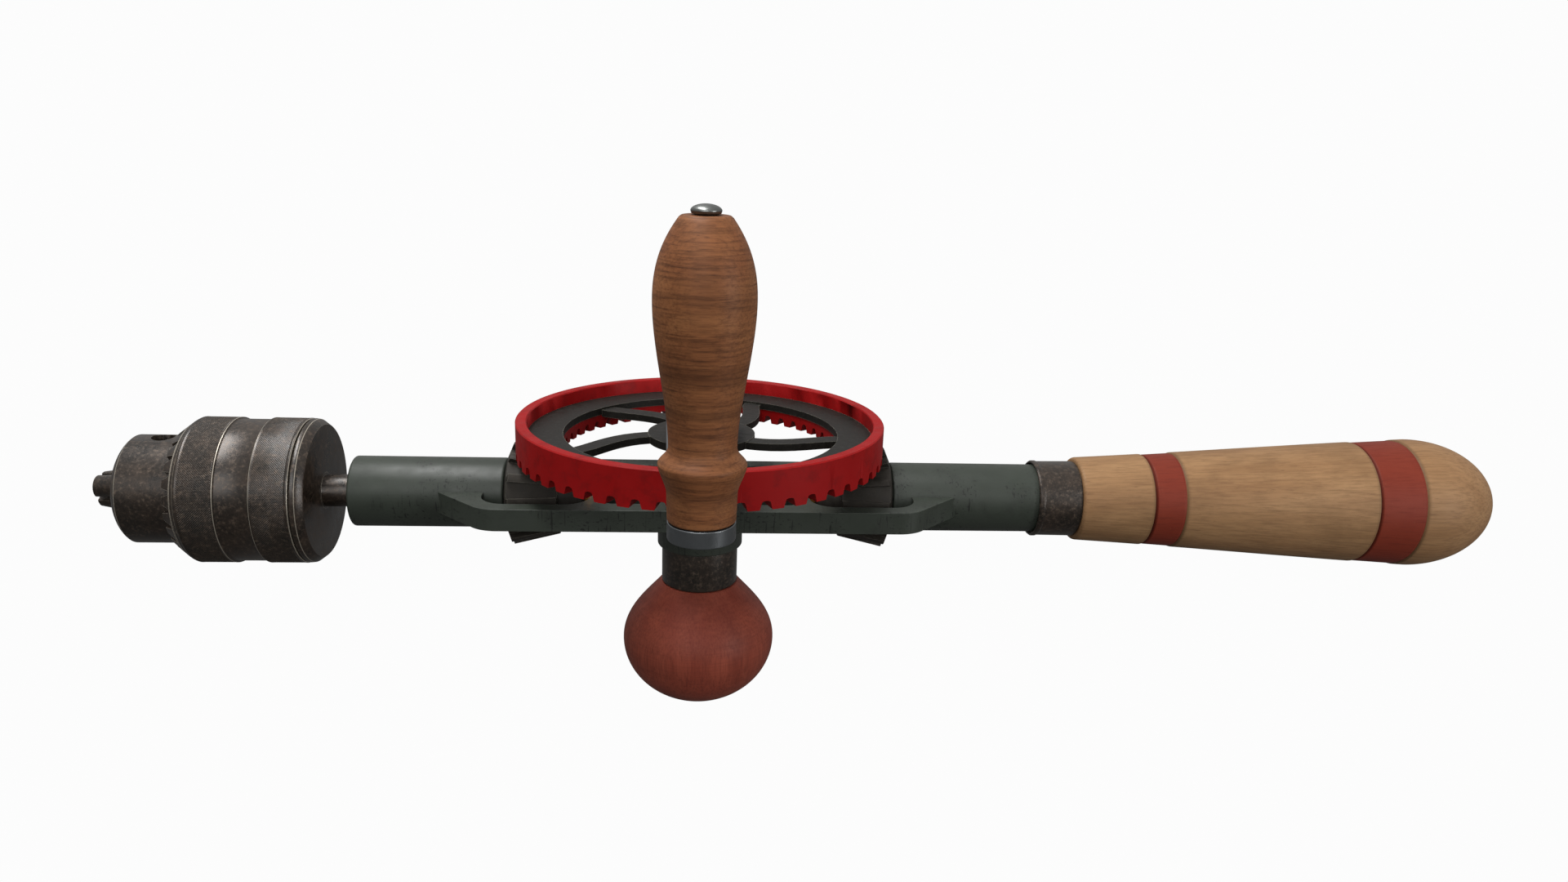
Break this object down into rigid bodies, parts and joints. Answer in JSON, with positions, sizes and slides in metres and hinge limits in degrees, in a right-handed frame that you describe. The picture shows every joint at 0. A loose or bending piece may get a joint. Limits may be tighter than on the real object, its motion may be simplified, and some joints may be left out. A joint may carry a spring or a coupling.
{
  "type": "hand drill",
  "caption": "Hand-cranked drill with a crown gear, bevel pinions, a key chuck, a long wooden main handle, a wooden side knob and a wooden crank grip.",
  "frame": {"origin": "on the drill axis, inside the span that the three jaws grip, 4 mm ahead of the chuck body's nose", "axes": "+X along the drill axis from the chuck to the main handle, +Z along the gear axis towards the crown gear, the crank grip on the -Y side at rest"},
  "size_m": [0.3916, 0.1546, 0.1478],
  "materials": {
    "frame_paint": "worn grey-green gloss paint",
    "red_paint": "red enamel, satin",
    "dark_iron": "dark, edges worn light",
    "gunmetal": "blackened steel, mottled and worn",
    "arm_steel": "blued flat bar",
    "steel": "turned",
    "bronze": "oiled bearing bronze",
    "handle_wood": "oiled light hardwood with red painted bands",
    "crank_wood": "stained hardwood, semi-gloss",
    "knob_wood": "red stained hardwood, semi-gloss"
  },
  "bodies": {
    "frame": {"front_tube": "frame_paint", "rear_tube": "frame_paint", "gear_frame": "frame_paint", "front_bush": "bronze", "rear_plug": "steel", "drive_washer": "bronze", "idler_stud": "steel", "idler_washer": "bronze", "gear_stud": "steel", "stud_washer": "steel", "stud_screw": "steel", "knob_ferrule": "gunmetal", "side_knob": "knob_wood", "handle_ferrule": "gunmetal", "main_handle": "handle_wood"},
    "wheel": {"crown_gear": "red_paint", "wheel_spider": "dark_iron", "wheel_hub": "gunmetal", "crank_arm": "arm_steel", "crank_pin": "steel"},
    "crank_grip": {"crank_handle": "crank_wood"},
    "spindle": {"spindle": "gunmetal", "drive_pinion": "dark_iron", "drive_pin": "steel", "chuck_body": "gunmetal"},
    "idler": {"idler_pinion": "dark_iron"},
    "sleeve": {"chuck_sleeve": "gunmetal", "split_nut": "steel"},
    "jaw_a": {"jaw_1": "gunmetal"},
    "jaw_b": {"jaw_2": "gunmetal"},
    "jaw_c": {"jaw_3": "gunmetal"}
  },
  "joints": [
    {"name": "crank_turn", "type": "hinge", "parent": "frame", "child": "wheel", "pos_m": [0.1575, 0, 0], "axis": [0, 0, 1], "continuous": true},
    {"name": "grip_spin", "type": "hinge", "parent": "wheel", "child": "crank_grip", "pos_m": [0.1575, -0.095, 0.055], "axis": [0, 0, 1], "continuous": true},
    {"name": "spindle_turn", "type": "hinge", "parent": "frame", "child": "spindle", "pos_m": [0.1, 0, 0], "axis": [1, 0, 0], "continuous": true},
    {"name": "idler_turn", "type": "hinge", "parent": "frame", "child": "idler", "pos_m": [0.2, 0, 0], "axis": [1, 0, 0], "continuous": true},
    {"name": "sleeve_turn", "type": "hinge", "parent": "spindle", "child": "sleeve", "pos_m": [0.03, 0, 0], "axis": [1, 0, 0], "range_deg": [-970, 3440]},
    {"name": "jaw_1_slide", "type": "slide", "parent": "spindle", "child": "jaw_a", "axis": [0.9781, -0.1801, 0.104], "range_m": [-0.0034, 0.012]},
    {"name": "jaw_2_slide", "type": "slide", "parent": "spindle", "child": "jaw_b", "axis": [0.9781, 0.1801, 0.104], "range_m": [-0.0034, 0.012]},
    {"name": "jaw_3_slide", "type": "slide", "parent": "spindle", "child": "jaw_c", "axis": [0.9781, 0, -0.2079], "range_m": [-0.0034, 0.012]}
  ],
  "couplings": [
    {"joint": "spindle_turn", "follows": "crank_turn", "ratio": 3.8462},
    {"joint": "idler_turn", "follows": "crank_turn", "ratio": -3.8462},
    {"joint": "jaw_1_slide", "follows": "sleeve_turn", "m_per_rad": 0.00019894},
    {"joint": "jaw_2_slide", "follows": "sleeve_turn", "m_per_rad": 0.00019894},
    {"joint": "jaw_3_slide", "follows": "sleeve_turn", "m_per_rad": 0.00019894}
  ]
}
